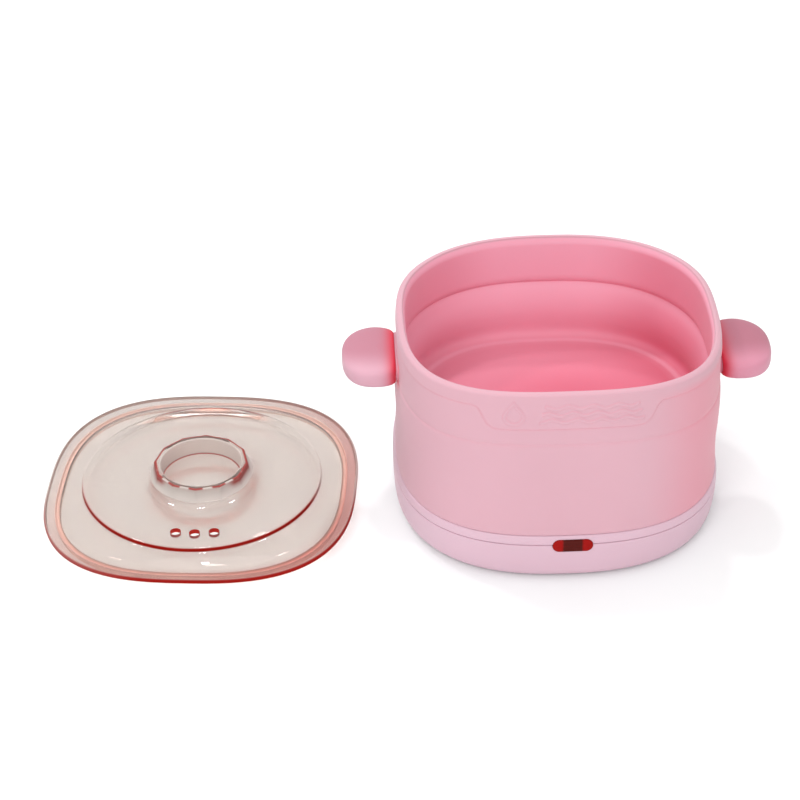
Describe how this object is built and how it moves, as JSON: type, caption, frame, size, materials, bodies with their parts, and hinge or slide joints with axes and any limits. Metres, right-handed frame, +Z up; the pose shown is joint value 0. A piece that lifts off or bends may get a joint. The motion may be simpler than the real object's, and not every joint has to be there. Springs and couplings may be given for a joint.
{
  "type": "wax warmer pot",
  "caption": "Folding rounded-square silicone pot with two ear handles on a flat electric heating base, and a clear lift-off lid with a hollow finger ring.",
  "frame": {"origin": "centre of the rubber foot ring under the pot, on the table", "axes": "+Z up; -Y towards the front, with the badge and the indicator window; +X towards the right handle. The lid lies on the table on the -X side."},
  "size_m": [0.3492, 0.1673, 0.1],
  "materials": {
    "pink_silicone": "soft matte silicone",
    "pink_shell": "satin moulded plastic",
    "clear_lid": "clear polished plastic with a pink tint",
    "red_lens": "translucent red",
    "black_plastic": "moulded",
    "black_rubber": "matte",
    "circuit_board": "solder mask",
    "relay_case": "moulded",
    "capacitor_sleeve": "sleeve",
    "terminal_green": "moulded",
    "brass_pins": "plated",
    "lead_sleeve": "silicone sleeve",
    "dial_white": "satin",
    "aluminium": "machined",
    "mica": "sheet mica",
    "steel_sheet": "sheet",
    "steel": "zinc plated",
    "insulation": "needled fibre",
    "ceramic_body": "phenolic",
    "fuse_metal": "case"
  },
  "bodies": {
    "base": {"foot_ring": "black_rubber", "bottom_cover": "pink_shell", "upper_shell": "pink_shell", "cover_screws": "steel", "indicator_lens": "red_lens", "display_module": "black_plastic", "control_board": "circuit_board", "board_screws": "steel", "relay": "relay_case", "capacitor": "capacitor_sleeve", "terminal_block": "terminal_green", "inlet_housing": "black_plastic", "inlet_pins": "brass_pins", "inlet_leads": "lead_sleeve", "dial_switch": "black_plastic", "dial_nut": "steel", "heating_plate": "aluminium", "plate_screws": "steel", "heater_element": "mica", "heater_clamp": "steel_sheet", "clamp_nut": "steel", "insulation_pad": "insulation", "thermostat": "ceramic_body", "thermal_fuse": "fuse_metal", "retaining_ring": "black_plastic", "ring_screws": "steel", "pot_bowl": "pink_silicone", "fold_wall": "pink_silicone"},
    "rim": {"rim_wall": "pink_silicone", "left_handle": "pink_silicone", "right_handle": "pink_silicone"},
    "dial": {"temperature_dial": "dial_white", "dial_shaft": "brass_pins"},
    "lid": {"lid": "clear_lid"}
  },
  "joints": [
    {"name": "pot_fold", "type": "slide", "parent": "base", "child": "rim", "axis": [0, 0, 1], "range_m": [-0.02, 0], "deforming": ["fold_wall"]},
    {"name": "dial_turn", "type": "hinge", "parent": "base", "child": "dial", "pos_m": [0.024, 0.08, 0.0125], "axis": [0, 1, 0], "range_deg": [0, 270]},
    {"name": "lid_lift", "type": "slide", "parent": "base", "child": "lid", "axis": [0, 0, 1], "range_m": [0, 0.04]}
  ]
}
